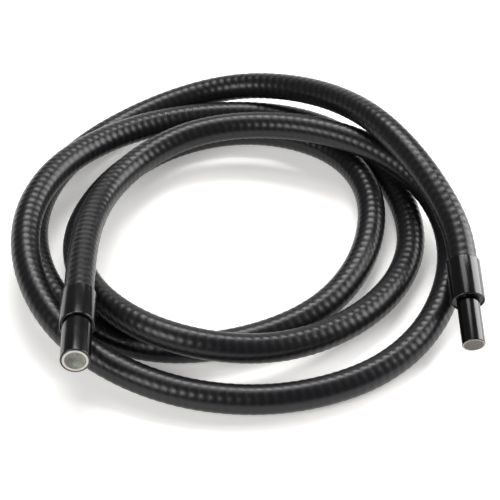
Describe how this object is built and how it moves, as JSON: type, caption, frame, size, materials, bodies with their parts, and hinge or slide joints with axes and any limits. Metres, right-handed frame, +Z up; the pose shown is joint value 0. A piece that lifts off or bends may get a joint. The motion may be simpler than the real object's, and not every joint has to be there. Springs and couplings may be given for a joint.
{
  "type": "fibre-optic light guide",
  "caption": "Flexible fibre-optic light guide lying in loose loops: black armoured hose with a stepped black ferrule and a polished glass fibre face at each end.",
  "frame": {"origin": "centre of the loops' bounding box, on the surface that the hose lies on", "axes": "+Z up from that surface, +Y across the loops away from both ferrules, +X from ferrule A towards ferrule B"},
  "size_m": [0.2086, 0.215, 0.0427],
  "materials": {
    "jacket_pvc": "satin",
    "black_anodised": "gloss",
    "lock_ring_black": "gloss",
    "bright_liner": "polished",
    "conduit_steel": "satin",
    "bush_brass": "satin",
    "clamp_steel": "satin",
    "sleeve_silk": "matte",
    "glass_fibre": "polished",
    "resin": "polished"
  },
  "bodies": {
    "root": {"jacket": "jacket_pvc", "steel_conduit": "conduit_steel", "bundle_sleeve": "sleeve_silk", "fibre_bundle": "glass_fibre", "collar_a": "black_anodised", "lock_ring_a": "lock_ring_black", "tip_tube_a": "black_anodised", "liner_tube_a": "bright_liner", "anchor_bush_a": "bush_brass", "sleeve_clamp_a": "clamp_steel", "potting_a": "resin", "fibre_end_a": "glass_fibre", "collar_b": "black_anodised", "lock_ring_b": "lock_ring_black", "tip_tube_b": "black_anodised", "anchor_bush_b": "bush_brass", "sleeve_clamp_b": "clamp_steel", "potting_b": "resin", "fibre_end_b": "glass_fibre"}
  },
  "joints": []
}
